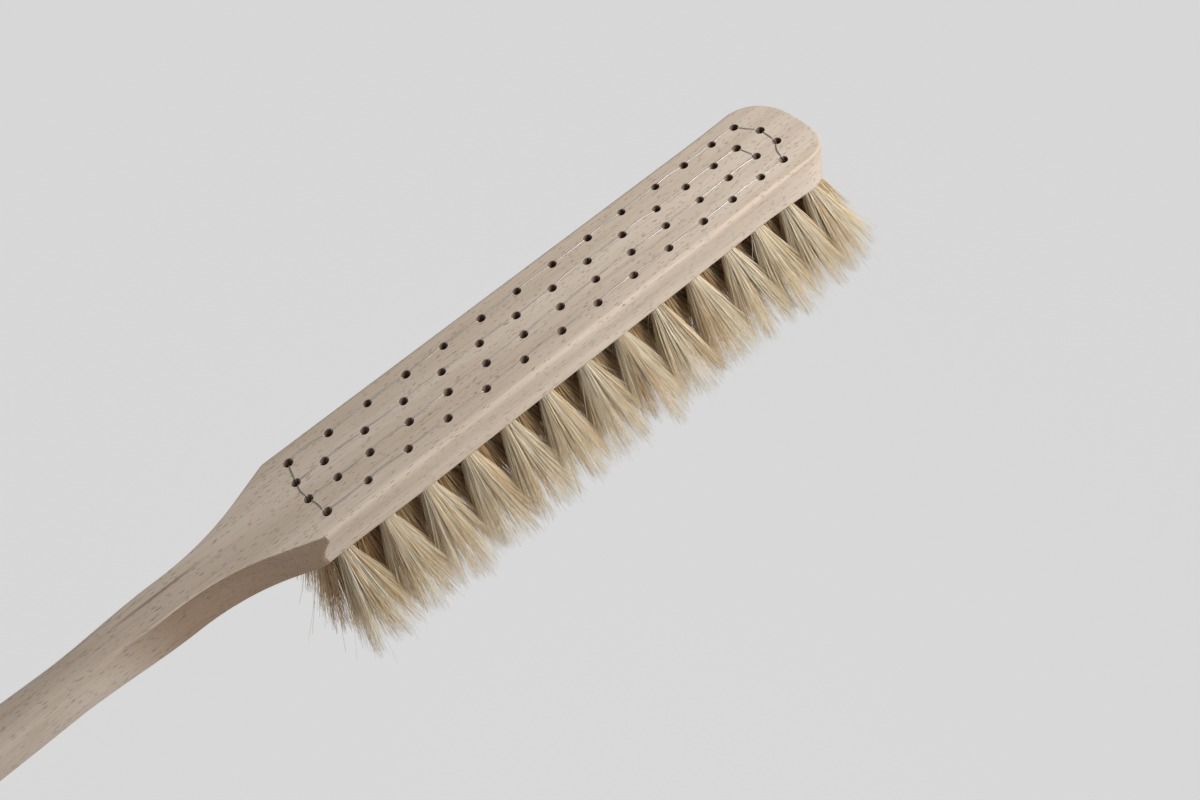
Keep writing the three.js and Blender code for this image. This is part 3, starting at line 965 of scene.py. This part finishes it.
def tuft_paths(tuft, random):
    """Centre lines of one tuft's hairs, as an array of hair, ring and coordinate, and their locks.

    The travel at a drop d is the root of d squared plus b squared, less b. Times the hair's slope it
    sets out straight and ends on the slope; what is left of d goes along the hole's slant. The slope
    is the tuft's lean, plus the fan in the direction in which the hair stands off the middle, plus
    chance. A hair that slopes more drops less, as all were cut to one length before they were drawn
    in: its drop is divided by the root of one plus part of the slope squared. Curl grows with a power
    of the drop's share, and the wave is one full sine wave that grows in step with it."""
    fan, gathering = (INNER_FAN, INNER_GATHER) if is_inner(tuft) else (FAN, GATHER)
    own = disk(random, HAIRS)
    locks = disk(random, LOCKS) * LOCK_AREA
    lock = np.argmin(np.linalg.norm(own[:, None] - locks[None], axis=2), 1)
    slope = tuft["lean"] + random.normal(0, SLOPE_CHANCE, (HAIRS, 2))
    slope = slope + random.normal(0, SLOPE_CHANCE, (LOCKS, 2))[lock]
    stray = random.random(HAIRS) < STRAY_SHARE
    aside = random.normal(0, STRAY_SLOPE, (stray.sum(), 2))
    slope[stray] += np.clip(aside, -MOST_STRAY_SLOPE, MOST_STRAY_SLOPE)
    total = slope + fan * own
    size = np.linalg.norm(total, axis=1, keepdims=True)
    total = total * np.minimum(1, MOST_SLOPE / size)
    slope = total - fan * own
    drop = hair_lengths(random) / np.sqrt(1 + SLOPE_SHORTENS * (total ** 2).sum(1))
    drop = drop[:, None] * DROP_SHARES[None]
    share = drop / UNDERSIDE
    gather = (gathering * ease(share * GATHER_SPEED))[..., None]
    stand = own[:, None] * (1 - gather) + locks[lock][:, None] * gather
    curl = random.normal(0, HAIR_CURL, (HAIRS, 2)) + random.normal(0, LOCK_CURL, (LOCKS, 2))[lock]
    curl[stray] *= STRAY_CURL
    curl = np.clip(curl, -MOST_CURL, MOST_CURL)
    wave = random.normal(0, WAVE, (HAIRS, 2))
    travel = (np.sqrt(drop ** 2 + SPREAD_START ** 2) - SPREAD_START)[..., None]
    side = BUNDLE_RADIUS * stand + travel * (slope[:, None] + fan * stand)
    side = side + tuft["tilt"] * (drop[..., None] - travel)
    side = side + curl[:, None] * (share ** CURL_POWER)[..., None]
    side = side + wave[:, None] * (share * np.sin(2 * np.pi * share))[..., None]
    flat = hole_at(tuft, UNDERSIDE) + side
    below = np.concatenate([flat, (UNDERSIDE - drop)[..., None]], -1)
    # one ring inside the bore: the hair comes together under the wire at the fold
    fold = tuft["fold"] - FOLD_DEPTH - FOLD_ROUND * np.sum(own ** 2, 1)
    inside = hole_at(tuft, fold) + own * BUNDLE_RADIUS * FOLD_SHARE
    inside = np.concatenate([inside, fold[:, None]], -1)[:, None]
    return np.concatenate([inside, below], 1), lock


print("hairs per tuft:", HAIRS, "with points at", len(DROP_SHARES), "drops and one at the fold")

# %% [markdown]
# A hair is a three-sided tube with a handful of rings, which at this thickness nobody can tell from a
# round one. Every tuft has as many hairs, rings and corners as the next, so one list of faces serves
# them all.

# %% Hair tubes
HAIR_SIDES = 3
ROOT_RADIUS = 0.105 * MM
TIP_RADIUS = 0.035 * MM
INNER_ROOT, INNER_TIP = 1.25, 1.5
THIN_FROM = 0.35
OWN_SHARE, LOCK_SHARE = 0.68, 0.32
PALE_CROWDING = 0.9
BROWNEST, INNER_PAINTED_SHADE_RANGE, OUTER_RANGE = 0.10, 0.34, 0.90
DARK_SHARE, DARK_RANGE = 0.03, 0.04
MAP_EDGE = 0.02
RINGS = 1 + len(DROP_SHARES)


def hair_faces(rings):
    """Faces of all the hairs: the sides as quads, and a triangle at each end."""
    one = tube_quads(rings, HAIR_SIDES)
    first = np.arange(HAIRS)[:, None, None] * rings * HAIR_SIDES
    quads = (one[None] + first).reshape(-1, 4)
    tip = (rings - 1) * HAIR_SIDES
    ends = np.array([[2, 1, 0], [tip, tip + 1, tip + 2]])
    return quads, (ends[None] + first).reshape(-1, 3)


hair_corners, hair_starts = face_lists(*hair_faces(RINGS))


def hair_shades(tuft, lock, random):
    """Each hair's shade from 0, dark, to 1, pale: partly its own, partly its lock's.

    The hair of the inner rows keeps to the browner part of the range, as painted shade for rows that
    stand in the shadow of the outer ones, and a few hairs anywhere are nearly black."""
    own = random.random(HAIRS) ** PALE_CROWDING
    shared = random.random(LOCKS)[lock]
    shade = OWN_SHARE * own + LOCK_SHARE * shared
    # painted shade: the inner rows keep to the browner part of the range
    shade = BROWNEST + (INNER_PAINTED_SHADE_RANGE if is_inner(tuft) else OUTER_RANGE) * shade
    dark = random.random(HAIRS) < DARK_SHARE
    return np.where(dark, DARK_RANGE * random.random(HAIRS), shade)


def tuft_mesh(tuft, random):
    """One tuft: a ring of three points round each centre, thinner towards the tip.

    The map's u is the hair's own shade and v runs from the fold to the tip, so the finish can vary
    both from hair to hair and along each hair."""
    path, lock = tuft_paths(tuft, random)
    root, tip = (INNER_ROOT, INNER_TIP) if is_inner(tuft) else (1.0, 1.0)
    thickness = ROOT_RADIUS * random.uniform(0.65, 1.35, HAIRS) * root
    thin = ease((np.linspace(0, 1, RINGS) - THIN_FROM) / (1 - THIN_FROM))
    radius = thickness[:, None] * (1 - thin) + TIP_RADIUS * tip * thin
    turn = random.random(HAIRS)[:, None] * 2 * np.pi
    angle = turn - np.arange(HAIR_SIDES) * 2 * np.pi / HAIR_SIDES
    offset = np.stack([np.cos(angle), np.sin(angle), np.zeros_like(angle)], -1)
    points = path[:, :, None] + radius[:, :, None, None] * offset[:, None]
    shades = hair_shades(tuft, lock, random)[:, None, None]
    # the corners of one hair stand a little apart on the map, so that no face has an empty place there
    u = MAP_EDGE + 0.96 * shades + np.array([-0.006, 0, 0.006])
    v = np.clip(1 - path[..., 2] / tuft["fold"], 0.004, 0.996)[..., None]
    uv = np.stack(np.broadcast_arrays(u, v), -1).reshape(-1, 2)
    mesh = new_mesh(tuft["name"] + "_hair", points.reshape(-1, 3), hair_corners, hair_starts)
    smooth(mesh)
    mesh.update(calc_edges=True)
    layer = mesh.uv_layers.new(name="OFBake")
    layer.uv.foreach_set("vector", uv.astype(np.float32)[hair_corners].ravel())
    return mesh


print("each tuft has", len(hair_starts), "faces")

# %% [markdown]
# ## Hair finish
# Pale natural bristle is not one colour: most hairs are cream, some are straw or golden, a few are
# brown, and now and then one is nearly black. The inner rows are kept browner as painted shade, since
# they stand in the shadow of the outer rows. Along its length each hair is greyer and a little darker
# at the root where it leaves the bore, and paler at the tip; the part inside the bore is painted nearly
# black as shade. Both the tone of each hair and the tone along it come from the hair's own map, so the
# colour follows the hair wherever it bends.

# %% Hair material
SHADES = (
    (0.000, (0.045, 0.028, 0.018)),
    (0.050, (0.080, 0.050, 0.030)),
    (0.075, (0.250, 0.150, 0.070)),
    (0.140, (0.560, 0.310, 0.140)),
    (0.230, (0.770, 0.500, 0.255)),
    (0.360, (0.870, 0.710, 0.450)),
    (0.540, (0.925, 0.830, 0.640)),
    (1.000, (0.970, 0.920, 0.810)),
)
# from the fold to the tip: the first two stops, inside the bore, are painted shade; past the bore the root
# is a little greyer and the tip paler
ROOT_TO_TIP_AND_BORE_SHADE = (
    (0.00, (0.10, 0.08, 0.06)),
    (0.16, (0.22, 0.18, 0.14)),
    (0.25, (0.84, 0.80, 0.76)),
    (0.50, (0.99, 0.96, 0.92)),
    (0.75, (1.00, 0.95, 0.86)),
    (1.00, (1.03, 0.95, 0.84)),
)


def colour_band(tree, factor, stops):
    """A colour ramp from (place, colour) pairs."""
    node = add(tree, "ShaderNodeValToRGB", Fac=factor)
    band = node.color_ramp
    while len(band.elements) < len(stops):
        band.elements.new(0.5)
    for element, (place, colour) in zip(band.elements, stops):
        element.position = place
        element.color = (*colour, 1)
    return node.outputs["Color"]


def hair_material():
    """Pale bristle, coloured hair by hair and from root to tip, with painted shade inside the bore and on
    the inner rows.
    """
    material, tree, shader = new_material("pale_bristle")
    map_place = add(tree, "ShaderNodeUVMap", settings={"uv_map": "OFBake"}).outputs[0]
    split = add(tree, "ShaderNodeSeparateXYZ", Vector=map_place)
    shade = colour_band(tree, split.outputs["X"], SHADES)
    length = colour_band(tree, split.outputs["Y"], ROOT_TO_TIP_AND_BORE_SHADE)
    tree.links.new(mixed(tree, 1.0, shade, length, "MULTIPLY"), shader.inputs["Base Color"])
    tree.links.new(ramp(tree, split.outputs["Y"], 0.0, 1.0, 0.5, 0.38), shader.inputs["Roughness"])
    shader.inputs["Specular IOR Level"].default_value = 0.5
    shader.inputs["Sheen Weight"].default_value = 0.35
    shader.inputs["Sheen Roughness"].default_value = 0.5
    shader.inputs["Sheen Tint"].default_value = (1.0, 0.93, 0.80, 1)
    return material


bristle = hair_material()
print("hair's finish runs over", len(SHADES), "shades and", len(ROOT_TO_TIP_AND_BORE_SHADE), "places along the hair")

# %% [markdown]
# Each tuft gets its own mesh, made from its own row of random numbers, and stands for its node of the
# frame. So a tuft can change or go without any other changing.

# %% Tufts of hair
FIRST_SEED = 1000
for number, tuft in enumerate(tufts):
    mesh = tuft_mesh(tuft, np.random.default_rng(FIRST_SEED + number))
    show(tuft["name"] + "_hair", mesh, bristle, "hair", tuft["name"])
print(len(tufts), "tufts of", HAIRS, "hairs")
